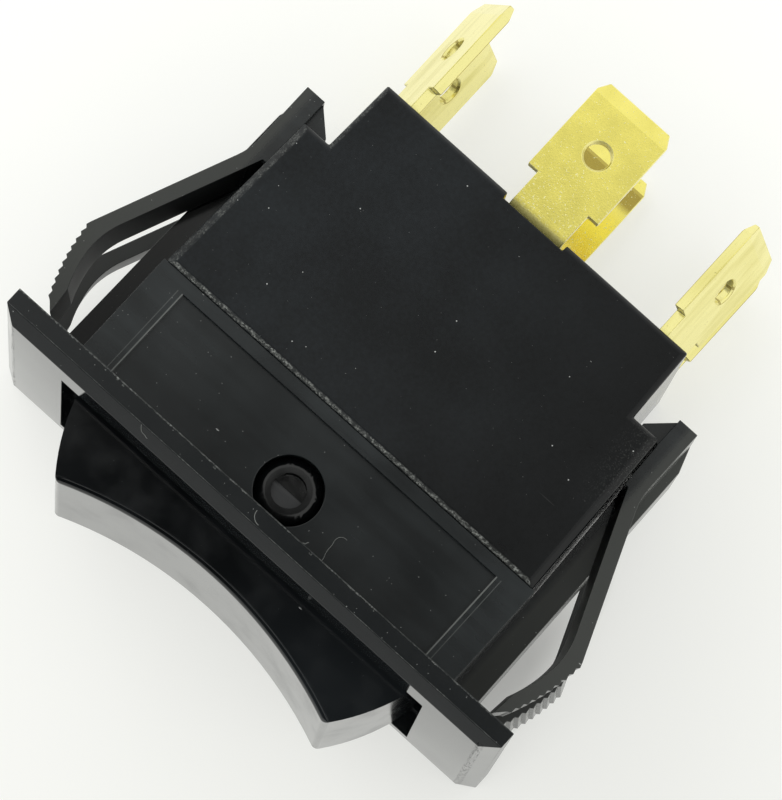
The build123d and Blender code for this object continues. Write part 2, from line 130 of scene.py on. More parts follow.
LEDGE_INNER = 8.9

# Each thread of flash: its start in millimetres, the lean of its plane, its heading and its bows,
# each a radius in millimetres and a turn in degrees
THREADS = (
    ((10.0, -12.565, 1.33), -45, -15, ((0.75, -40), (0.25, -40), (0.4, 35), (0.3, -37))),
    ((-3.25, -12.5, 0.02), 0, -160, ((0.12, 70), (0.1, -80), (0.3, 40))),
    ((-4.8, -9.38, -0.19), 0, -170, ((1.1, -32), (1.6, 26), (0.9, -24), (0.55, 60), (0.5, 62))),
)
THREAD_SIDES = 6
BOW_STEPS = 6

# Each lamp: the direction it shines from, the length of its sides in metres and the setting of its power
LAMPS = {
    "key_lamp": ((0.9, -0.6, -0.1), 1.0, "key"),
    "side_lamp": ((-0.9, -0.6, 0.1), 0.9, "fill"),
    "front_lamp": ((0.0, -0.6, 0.9), 0.6, "fill"),
    "far_lamp": ((0.3, 0.9, 0.3), 0.8, "fill"),
}
LAMP_DISTANCE = 0.9

# Each card in front of the switch: its middle, its turn in degrees, its width and height, and the
# distances from its middle at which it starts to fade and is gone
CARDS = {
    "front_card": ((0.0, -0.29, 0.4), 36, 1.0, 0.48, 0.6, 1.0),
    "brow_card": ((0.03, -0.44, 0.1), 90, 0.3, 0.1, 0.09, 0.14),
}


# --- Sizes and colours ------------------------------------------------------------------------


def length(name, description, default):
    return bpy.props.FloatProperty(
        name=name, description=description, default=default, min=0.0, precision=5, unit="LENGTH"
    )


def share(name, description, default):
    return bpy.props.FloatProperty(
        name=name, description=description, default=default, min=0.0, max=1.0, subtype="FACTOR"
    )


def colour(name, description, default):
    return bpy.props.FloatVectorProperty(
        name=name, description=description, default=default, size=3, min=0.0, max=1.0, subtype="COLOR"
    )


def spot(name, description, default):
    return bpy.props.FloatVectorProperty(
        name=name,
        description=description,
        default=default,
        size=3,
        precision=5,
        subtype="TRANSLATION",
        unit="LENGTH",
    )


class SwitchEdges(bpy.types.PropertyGroup):
    """How far the edges of the pieces are rounded."""

    bracket: length("Bracket", "Width of the rounding on the bracket's edges", 0.000035)
    case: length("Case", "Width of the rounding on the case's edges", 0.00012)
    terminal: length("Terminal", "Width of the rounding on the sheared edges of a tab", 0.00006)
    flash: length("Flash", "Radius of the threads of flash", 0.00002)


class SwitchColours(bpy.types.PropertyGroup):
    """Colours of the materials and how far they are worn."""

    bracket: colour("Bracket", "Satin black nylon", (0.0125, 0.015, 0.016))
    polish: colour("Bezel", "Polished bezel", (0.0052, 0.0066, 0.0074))
    # Painted sheen: the paler near faces of the arms and roots
    arms: colour("Arms", "Paler near faces of the arms and roots", (0.033, 0.035, 0.032))
    # The flash colour also paints the highlight lines on the bracket
    flash: colour("Flash", "Thin flash and threads on the edges of the bracket", (0.2, 0.21, 0.2))
    # The rubbed colour also paints the even highlight along the case's front chamfer
    rubbed: colour("Rubbed edges", "Light speckle on the rubbed edges of the case", (0.26, 0.27, 0.255))
    rocker: colour("Rocker", "Polished black", (0.0032, 0.0038, 0.0043))
    case: colour("Case", "Fine matt black", (0.0062, 0.0078, 0.0092))
    brass: colour("Brass", "Stamped brass of the terminals", (0.98, 0.87, 0.21))
    # Painted sheen for brass faces seen at a slant
    slant_sheen_brass: colour("Pale brass", "Brass seen at a slant", (0.94, 0.87, 0.37))
    strip: colour("Strip", "Rolled brass of the moving strips", (0.8, 0.6, 0.3))
    silver: colour("Silver", "Contact buttons", (0.85, 0.85, 0.83))
    nylon: colour("Nylon", "Undyed nylon of the plungers", (0.75, 0.74, 0.7))
    steel: colour("Steel", "Spring wire", (0.6, 0.6, 0.6))
    dust: colour("Dust", "Specks that lie on the mouldings", (0.42, 0.43, 0.42))
    dusty: share("Dust amount", "How many specks lie on the mouldings", 0.5)
    worn: share("Wear amount", "How far scratches and rubbed edges show", 0.5)


class SwitchStage(bpy.types.PropertyGroup):
    """Table, lamps and camera."""

    table: colour("Table", "Paper that the switch lies on", (0.97, 0.975, 0.945))
    glow: share("Glow", "Share of the table's brightness that shadows don't reach", 0.56)
    table_size: length("Table size", "Length of a side of the table", 1.6)
    lens: bpy.props.FloatProperty(
        name="Lens", description="Focal length in millimetres on a 36 mm wide sensor", default=281.2
    )
    camera: spot("Camera", "Place of the camera", (-0.0307, -0.42404, 0.05545))
    aim: spot("Aim", "Point that the camera looks at", (-0.00026, 0.0, -0.0132))
    roll: bpy.props.FloatProperty(
        name="Roll",
        description="Turn of the camera about its line of sight",
        default=math.radians(-137.41),
        subtype="ANGLE",
    )
    card: spot("Card", "Middle of the dark card beside the camera", (0.01, -0.44, -0.03))
    card_core: length("Card core", "Radius of the darkest part of the card", 0.05)
    card_edge: length("Card edge", "Radius where the card fades out", 0.1)
    key: bpy.props.FloatProperty(name="Key", description="Power of the main lamp in watts", default=3.0)
    fill: bpy.props.FloatProperty(name="Fill", description="Power of the side lamps in watts", default=1.3)
    room: bpy.props.FloatProperty(name="Room", description="Brightness of the white room", default=0.80)


# --- Shader maths -----------------------------------------------------------------------------


class Value:
    """Output of a shader node that takes part in Python arithmetic."""

    def __init__(self, finish, socket):
        self.finish = finish
        self.socket = socket

    def maths(self, operation, first, second):
        return self.finish.node("ShaderNodeMath", {"operation": operation}, {0: first, 1: second})

    def __add__(self, other):
        return self.maths("ADD", self, other)

    def __radd__(self, other):
        return self.maths("ADD", other, self)

    def __sub__(self, other):
        return self.maths("SUBTRACT", self, other)

    def __rsub__(self, other):
        return self.maths("SUBTRACT", other, self)

    def __mul__(self, other):
        return self.maths("MULTIPLY", self, other)

    def __rmul__(self, other):
        return self.maths("MULTIPLY", other, self)

    def __lt__(self, other):
        return self.maths("LESS_THAN", self, other)

    def __gt__(self, other):
        return self.maths("GREATER_THAN", self, other)


class Finish:
    """Nodes of a new material or world, with its patterns laid out in millimetres on the piece."""

    def __init__(self, name, kept_in=None):
        self.owner = (bpy.data.materials if kept_in is None else kept_in).new(name)
        self.owner.use_nodes = True
        self.tree = self.owner.node_tree
        self.tree.nodes.clear()

    def node(self, kind, settings, sockets, output=0):
        """Add a node, set its settings, then its sockets, and give back one of its outputs."""
        made = self.tree.nodes.new(kind)
        for setting, value in settings.items():
            setattr(made, setting, value)
        for socket, value in sockets.items():
            if isinstance(value, Value):
                self.tree.links.new(value.socket, made.inputs[socket])
            else:
                made.inputs[socket].default_value = value
        return Value(self, made.outputs[output]) if len(made.outputs) else made

    @cached_property
    def place(self):
        """Where a point lies on the piece, in millimetres."""
        where = self.node("ShaderNodeTexCoord", {}, {}, "Object")
        return self.node("ShaderNodeMapping", {}, {"Vector": where, "Scale": (1 / MM, 1 / MM, 1 / MM)})

    def moved(self, stretch, turn=(0, 0, 0)):
        """The pattern's coordinates, stretched and turned."""
        sockets = {"Vector": self.place, "Scale": stretch, "Rotation": turn}
        return self.node("ShaderNodeMapping", {}, sockets)

    def noise(self, scale, detail, where=None, roughness=0.5):
        """Clouds from 0 to 1, with about as many to a millimetre as the scale says."""
        sockets = {"Vector": where or self.place, "Scale": scale, "Detail": detail, "Roughness": roughness}
        return self.node("ShaderNodeTexNoise", {}, sockets)

    def ramp(self, value, low, high):
        """0 below low, 1 above high and a straight slope between them."""
        sockets = {"Value": value, "From Min": low, "From Max": high}
        return self.node("ShaderNodeMapRange", {"clamp": True}, sockets)

    def axis(self, index):
        """One coordinate of the piece in millimetres."""
        return self.node("ShaderNodeSeparateXYZ", {}, {"Vector": self.place}, index)

    def away(self, index):
        """Distance from the middle plane along one axis, in millimetres."""
        return self.node("ShaderNodeMath", {"operation": "ABSOLUTE"}, {0: self.axis(index)})

    def larger(self, first, second):
        """The larger of two values."""
        return self.node("ShaderNodeMath", {"operation": "MAXIMUM"}, {0: first, 1: second})

    def ray(self, kind):
        """1 for one kind of ray."""
        return self.node("ShaderNodeLightPath", {}, {}, kind)

    def seen(self):
        """1 for what the camera or a reflection sees, 0 for light that only falls on things."""
        return self.larger(self.ray("Is Camera Ray"), self.ray("Is Glossy Ray"))

    def facing(self, direction):
        """How far the surface faces a direction of the row frame, from 0 to 1."""
        normal = self.node("ShaderNodeNewGeometry", {}, {}, "Normal")
        sockets = {0: normal, 1: direction}
        along = self.node("ShaderNodeVectorMath", {"operation": "DOT_PRODUCT"}, sockets, "Value")
        return self.ramp(along, 0.0, 1.0)

    def specks(self, scale, size, amount, seed):
        """Round specks of mixed sizes, thinned out to a share of their cells."""
        return self.flecks((1.0, 1.0, 1.0), (0.0, 0.0, 0.0), scale, size, amount, seed)

    def flecks(self, stretch, turn, scale, size, amount, seed):
        """Specks drawn out in one direction."""
        sockets = {"Vector": self.place, "Location": (seed, seed, seed), "Rotation": turn, "Scale": stretch}
        where = self.node("ShaderNodeMapping", {}, sockets)
        cell = {"Vector": where, "Scale": scale, "Randomness": 1.0}
        distance = self.node("ShaderNodeTexVoronoi", {}, cell, "Distance")
        chance = self.node("ShaderNodeTexVoronoi", {}, cell, "Color")
        pick = self.node("ShaderNodeSeparateColor", {}, {"Color": chance}, "Red")
        other = self.node("ShaderNodeSeparateColor", {}, {"Color": chance}, "Green")
        radius = size * (0.25 + other)
        return (distance < radius) * (pick < amount)

    def scratches(self, turn, amount, seed):
        """Long thin marks that taper at both ends and all run one way."""
        return self.flecks((0.045, 1.0, 1.0), turn, 0.55, 0.022, amount, seed)

    def bow(self, x, z, radius):
        """Quarter of a thin ring around a point of the side, for a thread that lies flat on it."""
        half_width, overrun = 0.022, 0.05
        across, up = x - self.axis(0), z - self.axis(2)
        reach = self.node("ShaderNodeMath", {"operation": "SQRT"}, {0: across * across + up * up})
        off = self.node("ShaderNodeMath", {"operation": "ABSOLUTE"}, {0: reach - radius})
        return (off < half_width) * (across < overrun) * (up < 0.0)

    def band(self, value, low, high):
        """1 between two values."""
        return (value > low) * (value < high)

    def mix(self, factor, first, second):
        """One colour over another, as far as the factor says."""
        under, over = (tint if isinstance(tint, Value) else (*tint, 1.0) for tint in (first, second))
        colour_a, colour_b, colour_result = 6, 7, 2
        sockets = {0: factor, colour_a: under, colour_b: over}
        return self.node("ShaderNodeMix", {"data_type": "RGBA"}, sockets, colour_result)

    def bump(self, height, strength, distance):
        """Surface direction over a height pattern, with its depth in millimetres."""
        sockets = {"Height": height, "Strength": strength, "Distance": distance * MM}
        return self.node("ShaderNodeBump", {}, sockets)

    def surface(self, shader):
        """Feed the output with a shader, and give back the material."""
        self.node("ShaderNodeOutputMaterial", {}, {"Surface": shader})
        return self.owner

    def close(self, sockets):
        """Feed the main shader and the output, and give back the material."""
        return self.surface(self.node("ShaderNodeBsdfPrincipled", {}, sockets))


# --- Materials --------------------------------------------------------------------------------


def shades(tint, *factors):
    """One colour at several strengths."""
    return [tuple(min(1.0, part * factor) for part in tint) for factor in factors]


def dusted(finish, base, amount, seed):
    """Lay round specks, fine dust and a few fibres of lint over a colour."""
    colours = bpy.context.scene.switch_colours
    dust = tuple(colours.dust)
    amount = amount * colours.dusty
    specks = finish.specks(0.9, 0.037, amount, seed)
    fine = finish.specks(2.8, 0.07, amount * 0.6, seed + 7.0)
    lint = finish.flecks((0.3, 1.0, 1.0), (0.2, 0.5, 0.9), 0.8, 0.045, amount * 0.7, seed + 3.0)
    base = finish.mix(fine * 0.45, base, dust)
    base = finish.mix(lint * 0.6, base, dust)
    return finish.mix(specks * 0.85, base, dust), specks


def near_faces(finish):
    """Faces of the near half that look towards the near side."""
    return finish.facing((0.0, -1.0, 0.0)) * (finish.axis(1) < 2.0)


def bracket_ends(finish, base, grain):
    """Paint light and shade on the arms, roots and tongues by where they face, and give back where that was
    done.
    """
    colours = bpy.context.scene.switch_colours
    x = finish.axis(0)
    beyond = finish.ramp(finish.away(0), *PAST_BOX) * (1.0 - (finish.axis(2) > 0.0))
    near = near_faces(finish)
    outer = finish.ramp(finish.away(1), *PAST_TONGUE)
    rightward = finish.ramp(x, *ALONG_BRACKET)
    plus, minus = finish.facing((1.0, 0.0, 0.0)), finish.facing((-1.0, 0.0, 0.0))
    outward = plus * (x > 0.0) + minus * (x < 0.0)
    inner, deep = beyond * (1.0 - near) * (1.0 - outward), beyond * near * (1.0 - outer)
    ends = beyond * near * outer
    # Lit and shaded copies of the arms' colour, for painted light and shade
    shadowed, painted_end_sheen, lit = shades(colours.arms, 0.45, 1.7, 2.0)
    # Near faces of the arms and roots are painted paler: a painted sheen
    base = finish.mix(ends * (0.75 + grain * 0.3), base, tuple(colours.arms))
    # Inner faces get painted shade
    base = finish.mix(inner * 0.8, base, shadowed)
    # Faces turned outward at the left end get a painted sheen
    base = finish.mix(beyond * minus * outward, base, painted_end_sheen)
    # Near faces beside the tongues: painted shade at the right end, painted light at the left end
    base = finish.mix(deep * rightward, base, shades(colours.bracket, 0.1)[0])
    base = finish.mix(deep * (1.0 - rightward) * 0.8, base, lit)
    return base, beyond, ends, inner, deep * rightward


def bracket_flash_and_highlights(finish, crumbs):
    """Where flash and painted highlights show: painted highlights round the sunk field, and broken along
    both edges of the bezel's side, with flash too along its rear edge.
    """
    x, y, z = finish.away(0), finish.away(1), finish.axis(2)
    # Painted highlight lines round the sunk field
    field_highlight = finish.band(x, FIELD_END, FIELD_END + 0.1)
    field_highlight = field_highlight + finish.band(x, FIELD_END + 0.42, FIELD_END + 0.48) * 0.5
    field_highlight = field_highlight * near_faces(finish) * finish.band(y, 9.0, 10.0) * (z > FIELD_REAR) * (z < 0.0)
    broken = finish.ramp(finish.noise(0.7, 3.0), 0.4, 0.6)
    crumbly = finish.ramp(crumbs, 0.42, 0.6)
    blobs = finish.specks(1.9, 0.2, 0.45, 21.0) * (z < 0.26)
    # Flash and a painted highlight, broken, along the rear edge of the bezel's side
    rear_edge = (z < crumbs * 0.26 - 0.04) * (z > -0.12) * (0.08 + broken * crumbly)
    rear_edge = (rear_edge + blobs * crumbly * (z > -0.05)) * (y > BEZEL_SIDE - 0.25)
    # Painted highlight, broken, along the shoulder where the bevel begins
    front_edge = finish.band(z, BEZEL_SHOULDER - 0.05, BEZEL_SHOULDER) * (y > BEZEL_SIDE - 0.1)
    front_edge = front_edge * (0.12 + broken * finish.ramp(crumbs, 0.4, 0.7))
    fibre = finish.bow(*FIBRE) * (finish.axis(1) < 0.3 - BEZEL_SIDE)
    return field_highlight * 0.5 + rear_edge * 0.55 + front_edge * 0.6 + fibre * 0.8


def satin_nylon():
    """Bracket: satin black nylon, clouded where the melt met, with flash, nicks, dust, scuffs and painted
    light and shade.
    """
    colours = bpy.context.scene.switch_colours
    finish = Finish("satin_nylon")
    x, y, z = finish.away(0), finish.away(1), finish.axis(2)
    clouds = finish.noise(0.16, 3.0)
    grain = finish.noise(9.0, 3.0)
    crumbs = finish.noise(5.0, 3.0, None, 0.7)
    flow = finish.noise(1.1, 3.0, finish.moved((0.12, 1.0, 1.0)))
    scuffs = finish.scratches((0.0, 0.3, 0.0), colours.worn, 1.0)
    dark, pale, sunk = shades(colours.bracket, 0.6, 1.5, 0.5)
    base = finish.mix(finish.ramp(clouds * 0.6 + flow * 0.5, 0.4, 0.72), dark, pale)
    field = (x < FIELD_END) * (z > FIELD_REAR) * finish.band(y, *FIELD_WALL)
    base = finish.mix(field * 0.35, base, sunk)
    base = finish.mix(z > 0.0, base, tuple(colours.polish))
    front = finish.facing((0.0, 0.0, 1.0)) * (z > 1.0)
    base, beyond, ends, inner, painted_hollow_shade = bracket_ends(finish, base, grain)
    # Flash, a fibre and painted highlight lines
    base = finish.mix(bracket_flash_and_highlights(finish, crumbs), base, tuple(colours.flash))
    nicks = finish.band(x, *BEZEL_NICKS) * (z > 1.9) * (crumbs < 0.42)
    base = finish.mix(scuffs * 0.3, base, (0.07, 0.07, 0.07))
    base = finish.mix(nicks * 0.8, base, (0.001, 0.001, 0.001))
    base, specks = dusted(finish, base, 1.3 * (1.0 - front), 2.0)
    rough = 0.13 + clouds * 0.1 + grain * 0.06 + specks * 0.3 + nicks * 0.6 - front * 0.1
    rough = rough + ends * 0.12 + inner * 0.2 - painted_hollow_shade * 0.1
    texture = (grain + flow * 0.8) * (1.0 - front) * (1.0 - beyond * 0.7) - nicks * 2.0
    return finish.close(
        {
            "Base Color": base,
            "Roughness": rough,
            "IOR": 1.52,
            "Normal": finish.bump(texture, 0.16, 0.012),
        }
    )


def polished_black():
    """Rocker: polished black with faint streaks from the tool, smears, hairlines and dust, painted light
    towards its left end and on the hub's ledge, and painted shade on the hub's end.
    """
    colours = bpy.context.scene.switch_colours
    finish = Finish("polished_black")
    smears = finish.noise(0.35, 4.0, finish.moved((1.0, 0.5, 1.0), (0.0, 0.4, 0.5)))
    ripple = finish.noise(0.9, 2.0, finish.moved((0.3, 1.0, 0.3)))
    hairs = finish.scratches((0.0, 0.6, 0.0), colours.worn, 4.0)
    plain, smeared, paler = shades(colours.rocker, 1.0, 2.4, 3.4)
    base = finish.mix(finish.ramp(smears, 0.45, 0.75) * 0.6, plain, smeared)
    base = finish.mix(hairs * 0.2, base, (0.05, 0.05, 0.05))
    x, y, up = finish.axis(0), finish.away(1), finish.axis(2) - ROCKER_AXIS
    from_axle = x * x + up * up
    hub = (from_axle < HUB_RADIUS**2) * (y > HUB_INNER)
    ledge = (from_axle < LEDGE_RADIUS**2) * (up > 0.0) * (y > LEDGE_INNER)
    # Painted light: the rocker is paler towards its left end
    base = finish.mix(finish.ramp(x, 0.0, -10.0) * 0.7, base, paler)
    # Painted shade on the hub's end in its bearing
    base = finish.mix(hub * 0.9, base, (0.0008, 0.001, 0.0012))
    # Painted light on the half-round ledge
    base = finish.mix(ledge * 0.8, base, (0.019, 0.02, 0.022))
    base, specks = dusted(finish, base, 0.8 * (1.0 - hub), 5.0)
    rough = 0.1 + finish.ramp(smears, 0.4, 0.8) * 0.12 + hairs * 0.15 + specks * 0.4
    rough = rough + hub * 0.12 + ledge * 0.28
    return finish.close(
        {
            "Base Color": base,
            "Roughness": rough,
            "IOR": 1.5,
            "Normal": finish.bump(ripple, 0.06, 0.03),
        }
    )


def matt_black():
    """Case: fine matt black with dust, a few scratches, painted shade towards its left end and rubbed,
    speckled front and end edges, with a painted highlight along the front chamfer.
    """
    colours = bpy.context.scene.switch_colours
    finish = Finish("matt_black")
    clouds = finish.noise(0.14, 4.0)
    grain = finish.noise(14.0, 2.0)
    mottle = finish.noise(4.0, 2.0)
    cross = finish.scratches((0.0, 0.9, 0.0), colours.worn, 6.0)
    along = finish.scratches((0.0, -0.3, 0.0), colours.worn, 8.0)
    dark, pale, darkest = shades(colours.case, 0.65, 1.7, 0.1)
    base = finish.mix(finish.ramp(clouds * 0.8 + mottle * 0.4, 0.45, 0.8), dark, pale)
    x, z = finish.axis(0), finish.axis(2)
    rightward, frontward = finish.ramp(x, *ALONG_CASE), finish.ramp(z, *UP_CASE)
    # Painted shade: the case darkens towards its left end
    base = finish.mix((1.0 - rightward) * 0.75, base, darkest)
    base = finish.mix((cross + along) * 0.18, base, (0.08, 0.08, 0.08))
    front_edge = finish.ramp(finish.facing((0.0, -0.7071, 0.7071)), 0.9, 0.98)
    end_edge = finish.ramp(finish.facing((0.7071, -0.7071, 0.0)), 0.85, 0.95)
    crumbs = finish.ramp(finish.noise(7.0, 3.0, None, 0.75), 0.46, 0.6)
    fine = finish.ramp(finish.noise(2.2, 2.0), 0.35, 0.6)
    corner = finish.ramp(x, *CASE_CORNER[0]) * finish.ramp(z, *CASE_CORNER[1])
    haze = corner * finish.ramp(finish.noise(11.0, 3.0), 0.57, 0.64)
    # Rubbed speckle on the front and end edges, over an even painted highlight along the front chamfer
    chipped_and_sheen = front_edge * (0.12 + crumbs * fine) + end_edge * crumbs * fine * 0.3
    rubbed = (chipped_and_sheen + haze * 0.16) * (0.5 + colours.worn)
    base = finish.mix(rubbed, base, tuple(colours.rubbed))
    base, specks = dusted(finish, base, 0.9 + rightward * 0.6, 9.0)
    rough = 0.2 + clouds * 0.12 + mottle * 0.08 + rubbed * 0.3 + rightward * 0.14 * frontward
    rough = rough - finish.facing((-1.0, 0.0, 0.0)) * 0.16
    return finish.close(
        {
            "Base Color": base,
            "Roughness": rough,
            "IOR": 1.34,
            "Normal": finish.bump(grain + mottle * 0.5 + crumbs * front_edge * 2.0, 0.3, 0.012),
        }
    )


def metal(name, tint, slant, rough, speckle, streak=(1.0, 1.0, 1.0)):
    """Bare metal with rolling marks, small dark pits, painted glints and slight tarnish; slanted faces get
    a painted sheen and a far tab painted shade.
    """
    colours = bpy.context.scene.switch_colours
    finish = Finish(name)
    z, far = finish.axis(2), finish.axis(1) > 0.5
    clouds = finish.noise(0.5, 3.0)
    grain = finish.noise(9.0, 3.0, finish.moved(streak))
    pits = finish.specks(3.0, 0.15, speckle, 2.0)
    lines = finish.scratches((0.3, 0.0, 0.2), colours.worn, 3.0)
    rolled = finish.ramp(finish.noise(0.7, 3.0, finish.moved((1.0, 1.0, 0.16))), 0.5, 0.68)

    # Faces of a tab: its flat near and far faces, its bend under the case, its edges and its tip
    straight = finish.ramp(finish.facing((0.0, -1.0, 0.0)), 0.95, 0.99)
    bend = finish.ramp(z, *TAB_BEND)
    tilted = finish.ramp(finish.facing((0.0, 0.0, 1.0)) + finish.facing((0.0, 0.0, -1.0)), 0.15, 0.5)
    crease = finish.facing((0.7071, -0.7071, 0.0)) + finish.facing((-0.7071, -0.7071, 0.0))
    crease = finish.band(crease, 0.93, 1.1) * (finish.away(0) > OUTER_TABS)
    tip = far * straight * finish.ramp(z, *TAB_TIP) * (z > COINED_TIP)
    behind = far * straight * finish.ramp(z, *TAB_SHADE)
    # Painted glints on the straight faces, more of them near the case
    near_case = finish.ramp(z, *TAB_GLINTS)
    painted_glints = finish.ramp(finish.noise(7.5, 4.0, None, 0.65) + near_case * 0.06, 0.64, 0.67)
    dots = finish.larger(painted_glints, finish.specks(2.4, 0.09, speckle, 13.0)) * straight

    red, green, blue = tint
    plain, tarnished, pitted, brown = shades(tint, 1.0, 0.88, 0.45, 0.7)
    # Faces not square to the near side take the slant colour: a painted sheen
    base = finish.mix(straight, slant, plain)
    base = finish.mix(finish.ramp(clouds, 0.35, 0.7) * straight, base, tarnished)
    base = finish.mix(rolled * (1.0 - straight) * 0.5, base, brown)
    # Painted shade and warm painted reflection on a far tab up to the case
    base = finish.mix(behind * 0.8, base, (red, green * 0.78, blue * 0.7))
    base = finish.mix(finish.ramp(grain, 0.5, 0.75) * (0.1 + bend * 0.3), base, pitted)
    base = finish.mix(pits * (0.2 + bend * 0.4), base, pitted)
    base = finish.mix(crease * 0.7, base, (0.3, 0.22, 0.04))
    # Painted shade, brown, on the end of a far tab
    base = finish.mix(tip * 0.9, base, (red * 0.4, green * 0.34, blue * 0.3))
    # The bend is darker where its faces tilt
    base = finish.mix(bend * tilted * 0.45, base, pitted)
    # Painted glints and bright scratch lines
    base = finish.mix(finish.larger(dots, lines * 0.5), base, (1.0, 0.96, 0.5))
    worn_rough = rough + clouds * 0.06 + grain * 0.06 + bend * 0.35 + pits * 0.2 + tilted * 0.2
    height = grain * (0.15 + bend * 0.7) - pits * 0.8 + dots * 0.8 + lines * 0.5
    return finish.close(
        {
            "Base Color": base,
            "Metallic": 1.0 - tilted * 0.35 - dots * 0.6,
            "Roughness": worn_rough,
            "Normal": finish.bump(height, 0.6, 0.02),
        }
    )


def pale_flash():
    """Threads of flash: the bracket's nylon, so thin that it looks grey."""
    finish = Finish("pale_flash")
    tint = tuple(bpy.context.scene.switch_colours.flash)
    base = finish.mix(finish.noise(6.0, 2.0), tint, shades(tint, 0.6)[0])
    return finish.close({"Base Color": base, "Roughness": 0.4, "IOR": 1.5})


def undyed_nylon():
    """Plungers: undyed nylon, slightly yellowed and rubbed."""
    finish = Finish("undyed_nylon")
    clouds = finish.noise(0.8, 3.0)
    grain = finish.noise(8.0, 2.0)
    tint = tuple(bpy.context.scene.switch_colours.nylon)
    base = finish.mix(finish.ramp(clouds, 0.3, 0.8), tint, (tint[0], tint[1] * 0.95, tint[2] * 0.82))
    return finish.close(
        {
            "Base Color": base,
            "Roughness": 0.4 + grain * 0.15,
            "IOR": 1.5,
            "Normal": finish.bump(grain, 0.2, 0.02),
        }
    )


# --- Pieces -----------------------------------------------------------------------------------


def placed(name, data):
    """New object in the scene, at the origin."""
    made = bpy.data.objects.new(name, data)
    bpy.context.scene.collection.objects.link(made)
    return made


def from_shape(name, shape, material):
    """New object from a finished bmesh, in one material."""
    mesh = bpy.data.meshes.new(name)
    shape.to_mesh(mesh)
    shape.free()
    mesh.materials.append(material)
    return placed(name, mesh)


def finer_copy(node, name, rounding, material):
    """Merged copy of a frame node with rounded edges and even shading, standing for it."""
    source = frame["nodes"][node]
    shape = bmesh.new()
    shape.from_mesh(source.data)
    bmesh.ops.remove_doubles(shape, verts=shape.verts, dist=MERGE_DISTANCE)
    bmesh.ops.dissolve_limit(
        shape,
        angle_limit=FLAT_ANGLE,
        verts=shape.verts,
        edges=shape.edges,
        use_dissolve_boundaries=False,
    )
    for face in shape.faces:
        face.smooth = True
        face.material_index = 0
    weight = shape.edges.layers.float.new("bevel_weight_edge")
    for edge in shape.edges:
        if rounding and edge.is_manifold and edge.calc_face_angle() > SHARP_ANGLE:
            edge[weight] = min(1.0, edge.calc_length() / (rounding * FULL_ROUNDING_LENGTH))
    piece = from_shape(name, shape, material)
    piece.data.set_sharp_from_angle(angle=SHARP_ANGLE)
    if rounding:
        bevel = piece.modifiers.new("Rounded edges", "BEVEL")
        bevel.limit_method = "WEIGHT"
        bevel.width = rounding
        bevel.segments = ROUNDING_SEGMENTS
        bevel.use_clamp_overlap = False
    even = piece.modifiers.new("Even shading", "WEIGHTED_NORMAL")
    even.keep_sharp = True
    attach(piece, source["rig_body"])
    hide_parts(node)
    return piece


def dress(node, material):
    """Give a frame node a finished material in its own slot."""
    piece = frame["nodes"][node]
    piece.data.materials.clear()
    piece.data.materials.append(material)


class SwitchBracket(bpy.types.Operator):
    """Finish the bracket's moulding"""

    bl_idname = "switch.bracket"
    bl_label = "Bracket"

    def execute(self, context):
        edges = context.scene.switch_edges
        finer_copy("bracket", "bracket_moulding", edges.bracket, satin_nylon())
        return {"FINISHED"}


def thread(shape, place, lean, heading, bows, radius):
    """Add a curled thread of flash: a thin ring swept through its bows one after the other."""
    end = list(bmesh.ops.create_circle(shape, segments=THREAD_SIDES, radius=radius)["verts"])
    bmesh.ops.transform(shape, matrix=Matrix.Rotation(heading, 4, "Y"), verts=end)
    end += {edge for vert in end for edge in vert.link_edges}
    point, angle = Vector((0.0, 0.0, 0.0)), heading
    for bow, turn in bows:
        turn = math.radians(turn)
        across = Vector((math.cos(angle), 0.0, -math.sin(angle))) * math.copysign(1.0, turn)
        centre = point + across * bow * MM
        swept = bmesh.ops.spin(
            shape, geom=end, cent=centre, axis=(0.0, 1.0, 0.0), angle=turn, steps=BOW_STEPS
        )
        end = swept["geom_last"]
        point = centre + Matrix.Rotation(turn, 3, "Y") @ (point - centre)
        angle += turn
    fresh = [vert for vert in shape.verts if not vert.tag]
    matrix = Matrix.Translation(Vector(place) * MM) @ Matrix.Rotation(lean, 4, "X")
    bmesh.ops.transform(shape, matrix=matrix, verts=fresh)
    for vert in fresh:
        vert.tag = True


class SwitchFlash(bpy.types.Operator):
    """Add the curled threads of flash on the bracket's near side"""

    bl_idname = "switch.flash"
    bl_label = "Flash"

    def execute(self, context):
        radius = context.scene.switch_edges.flash
        shape = bmesh.new()
        for place, lean, heading, bows in THREADS:
            thread(shape, place, math.radians(lean), math.radians(heading), bows, radius)
        open_ends = [edge for edge in shape.edges if edge.is_boundary]
        bmesh.ops.holes_fill(shape, edges=open_ends, sides=THREAD_SIDES)
        bmesh.ops.recalc_face_normals(shape, faces=shape.faces)
        for face in shape.faces:
            face.smooth = True
        threads = from_shape("flash_threads", shape, pale_flash())
        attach(threads, frame["nodes"]["bracket"]["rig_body"])
        return {"FINISHED"}


class SwitchRocker(bpy.types.Operator):
    """Finish the rocker's moulding"""

    bl_idname = "switch.rocker"
    bl_label = "Rocker"

    def execute(self, context):
        # Its edges stay sharp, because a rounding tears the corners of the dished face
        finer_copy("rocker", "rocker_moulding", 0.0, polished_black())
        return {"FINISHED"}


class SwitchCase(bpy.types.Operator):
    """Finish the case's moulding"""

    bl_idname = "switch.case"
    bl_label = "Case"

    def execute(self, context):
        edges = context.scene.switch_edges
        finer_copy("case", "case_moulding", edges.case, matt_black())
        return {"FINISHED"}


